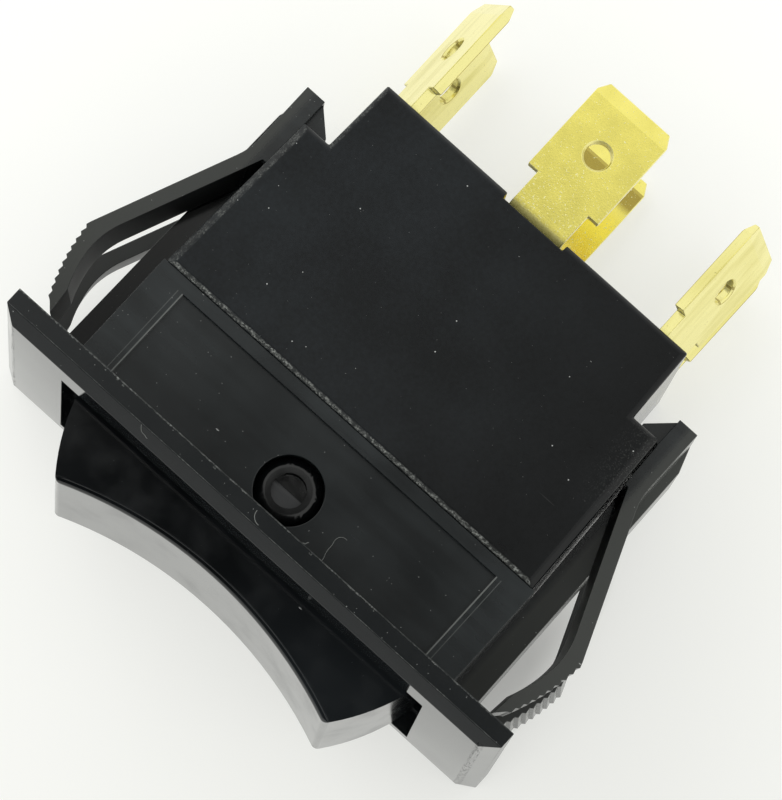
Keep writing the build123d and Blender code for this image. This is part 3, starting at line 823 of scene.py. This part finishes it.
class SwitchTerminals(bpy.types.Operator):
    """Finish the six brass terminals"""

    bl_idname = "switch.terminals"
    bl_label = "Terminals"

    def execute(self, context):
        edges = context.scene.switch_edges
        colours = context.scene.switch_colours
        brass = metal("stamped_brass", tuple(colours.brass), tuple(colours.slant_sheen_brass), 0.1, 0.4)
        for side in SIDES:
            for end in (*ENDS, "centre"):
                name = f"terminal_{side}_{end}"
                finer_copy(name, f"{name}_blade", edges.terminal, brass)
        return {"FINISHED"}


class SwitchContacts(bpy.types.Operator):
    """Finish the rivets, saddles, strips and contact buttons"""

    bl_idname = "switch.contacts"
    bl_label = "Contacts"

    def execute(self, context):
        colours = context.scene.switch_colours
        rolled, brass, silver = tuple(colours.strip), tuple(colours.brass), tuple(colours.silver)
        strip = metal("rolled_strip", rolled, rolled, 0.22, 0.15, (0.1, 1.0, 1.0))
        rivet = metal("rivet_brass", brass, brass, 0.28, 0.2)
        contact = metal("contact_silver", silver, silver, 0.34, 0.2)
        for side in SIDES:
            finer_copy(f"rivet_{side}", f"rivet_{side}_head", 0.0, rivet)
            dress(f"fulcrum_{side}", strip)
            dress(f"contact_arm_{side}", strip)
            for end in ENDS:
                dress(f"fixed_contact_{side}_{end}", contact)
                dress(f"moving_contact_{side}_{end}", contact)
        return {"FINISHED"}


class SwitchPlungers(bpy.types.Operator):
    """Finish the plungers and their springs"""

    bl_idname = "switch.plungers"
    bl_label = "Plungers and springs"

    def execute(self, context):
        nylon = undyed_nylon()
        tint = tuple(context.scene.switch_colours.steel)
        steel = metal("spring_steel", tint, tint, 0.25, 0.1)
        for side in SIDES:
            dress(f"plunger_{side}", nylon)
            spring = finer_copy(f"spring_{side}", f"spring_{side}_wire", 0.0, steel)
            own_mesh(spring)
        return {"FINISHED"}


# --- Stage ------------------------------------------------------------------------------------


def resting_plane():
    """Middle and normal of the table, which touches the far edges of the bezel and of the case."""
    bracket_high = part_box("bracket")[1]
    case_low, case_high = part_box("case")
    front = Vector((0.0, bracket_high.y, 0.0))
    back = Vector((0.0, case_high.y, case_low.z))
    along = (back - front).normalized()
    return (front + back) / 2, along.cross(Vector((1.0, 0.0, 0.0))).normalized()


def table_paper():
    """Pale paper, seen from its lit side only, so that the far side of the switch shows too."""
    finish = Finish("table_paper")
    stage = bpy.context.scene.switch_stage

    def level(factor):
        return tuple(part * factor for part in stage.table)

    # Painted shade on the table in the gap inside the arms at the left end
    gap_x, gap_z = -18.9, -4.0
    across, along = finish.axis(0) - gap_x, finish.axis(2) - gap_z
    shaded = finish.ramp(across * across * 6.0 + along * along * 0.3, 50.0, 5.0)
    shaded = shaded * finish.ramp(finish.axis(2), 1.0, -2.0)
    base = finish.mix(finish.noise(0.05, 2.0), level(1.0), level(0.985))
    base = finish.mix(shaded * 0.35, base, level(0.3))
    paper = finish.node("ShaderNodeBsdfDiffuse", {}, {"Color": base})

    # Part of the paper's brightness is its own, and rises towards the tabs at the right end
    rising = finish.ramp(finish.axis(0) - finish.axis(2), -30.0, 45.0)
    lit = finish.mix(rising, level(0.91), level(1.14))
    lit = finish.mix(shaded * 0.35, lit, level(0.3))
    glow = finish.node("ShaderNodeEmission", {}, {"Color": lit, "Strength": 1.0})
    glowing = finish.seen() * (1.0 - shaded * 0.3) * stage.glow
    paper = finish.node("ShaderNodeMixShader", {}, {0: glowing, 1: paper, 2: glow})

    behind = finish.node("ShaderNodeNewGeometry", {}, {}, "Backfacing")
    through = finish.larger(behind, finish.ray("Is Shadow Ray"))
    clear = finish.node("ShaderNodeBsdfTransparent", {}, {})
    return finish.surface(finish.node("ShaderNodeMixShader", {}, {0: through, 1: paper, 2: clear}))


def lay_table():
    """Sheet of paper under the switch, in the plane that it rests on."""
    middle, normal = resting_plane()
    size = bpy.context.scene.switch_stage.table_size
    shape = bmesh.new()
    bmesh.ops.create_grid(shape, x_segments=1, y_segments=1, size=size / 2)
    turn = normal.to_track_quat("Z", "Y").to_matrix().to_4x4()
    bmesh.ops.transform(shape, matrix=Matrix.Translation(middle) @ turn, verts=shape.verts)
    from_shape("table", shape, table_paper())


def lamp(name, direction, size, power):
    """Square soft lamp that looks at the switch from a direction, unseen in reflections."""
    light = bpy.data.lights.new(name, "AREA")
    light.shape = "SQUARE"
    light.size = size
    light.energy = power
    holder = placed(name, light)
    away = Vector(direction).normalized()
    holder.location = Vector(bpy.context.scene.switch_stage.aim) + away * LAMP_DISTANCE
    holder.rotation_mode = "QUATERNION"
    holder.rotation_quaternion = away.to_track_quat("Z", "Y")
    holder.visible_glossy = False


def stand_card(name, place, turn, width, height, core, edge):
    """Dark card with soft edges, seen only as a reflection in glossy faces."""
    shape = bmesh.new()
    bmesh.ops.create_grid(shape, x_segments=1, y_segments=1, size=0.5)
    bmesh.ops.scale(shape, vec=(width, height, 1.0), verts=shape.verts)
    matrix = Matrix.Translation(place) @ Matrix.Rotation(math.radians(turn), 4, "X")
    bmesh.ops.transform(shape, matrix=matrix, verts=shape.verts)
    finish = Finish(name)
    sockets = {0: finish.place, 1: tuple(part / MM for part in place)}
    away = finish.node("ShaderNodeVectorMath", {"operation": "DISTANCE"}, sockets, "Value")
    fade = finish.ramp(away, core / MM, edge / MM)
    black = finish.node("ShaderNodeBsdfDiffuse", {}, {"Color": (0.01, 0.01, 0.01, 1.0)})
    clear = finish.node("ShaderNodeBsdfTransparent", {}, {})
    faded = finish.node("ShaderNodeMixShader", {}, {0: fade, 1: black, 2: clear})
    card = from_shape(name, shape, finish.surface(faded))
    for rays in ("visible_camera", "visible_shadow", "visible_diffuse", "visible_transmission"):
        setattr(card, rays, False)


def light_room():
    """White room: even light on the switch, white where the camera sees past the table."""
    finish = Finish("room", bpy.data.worlds)
    sockets = {"Factor": finish.seen(), "A": bpy.context.scene.switch_stage.room, "B": 1.0}
    level = finish.node("ShaderNodeMix", {}, sockets, "Result")
    sockets = {"Color": (0.97, 0.98, 0.95, 1.0), "Strength": level}
    background = finish.node("ShaderNodeBackground", {}, sockets)
    finish.node("ShaderNodeOutputWorld", {}, {"Surface": background})
    bpy.context.scene.world = finish.owner


def set_camera():
    """Camera that looks at the aim, turned about its line of sight."""
    stage = bpy.context.scene.switch_stage
    data = bpy.data.cameras.new("camera")
    data.lens = stage.lens
    data.sensor_width = 36.0
    data.clip_start = 0.01
    data.clip_end = 10.0
    camera = placed("camera", data)
    camera.location = stage.camera
    back = (camera.location - Vector(stage.aim)).normalized()
    camera.rotation_mode = "QUATERNION"
    camera.rotation_quaternion = Quaternion(back, stage.roll) @ (-back).to_track_quat("-Z", "Y")
    bpy.context.scene.camera = camera


class SwitchSetStage(bpy.types.Operator):
    """Lay the table, light the room and set the camera"""

    bl_idname = "switch.stage"
    bl_label = "Stage"

    def execute(self, context):
        stage = context.scene.switch_stage
        lay_table()
        for name, (direction, size, power) in LAMPS.items():
            lamp(name, direction, size, getattr(stage, power))
        side = stage.card_edge * 2.2
        stand_card("camera_card", stage.card, 90, side, side, stage.card_core, stage.card_edge)
        for name, card in CARDS.items():
            stand_card(name, *card)
        light_room()
        set_camera()
        context.scene.view_settings.view_transform = "Standard"
        return {"FINISHED"}


class SwitchPanel(bpy.types.Panel):
    """Sidebar panel with the switch's operators and settings"""

    bl_idname = "VIEW3D_PT_switch"
    bl_label = "Rocker switch"
    bl_space_type = "VIEW_3D"
    bl_region_type = "UI"
    bl_category = "Switch"

    def draw(self, context):
        for operator in OPERATORS:
            self.layout.operator(operator.bl_idname)
        for group in GROUPS:
            settings = getattr(context.scene, group)
            for name in settings.__annotations__:
                self.layout.prop(settings, name)


GROUPS = {"switch_edges": SwitchEdges, "switch_colours": SwitchColours, "switch_stage": SwitchStage}
OPERATORS = (
    SwitchBracket,
    SwitchFlash,
    SwitchRocker,
    SwitchCase,
    SwitchTerminals,
    SwitchContacts,
    SwitchPlungers,
    SwitchSetStage,
)


def register():
    for kind in (*GROUPS.values(), *OPERATORS, SwitchPanel):
        bpy.utils.register_class(kind)
    for name, group in GROUPS.items():
        setattr(bpy.types.Scene, name, bpy.props.PointerProperty(type=group))


def unregister():
    for name in GROUPS:
        delattr(bpy.types.Scene, name)
    for kind in reversed((*GROUPS.values(), *OPERATORS, SwitchPanel)):
        bpy.utils.unregister_class(kind)


def main():
    register()
    for operator in OPERATORS:
        group, name = operator.bl_idname.split(".")
        getattr(getattr(bpy.ops, group), name)()


if __name__ == "__main__":
    main()
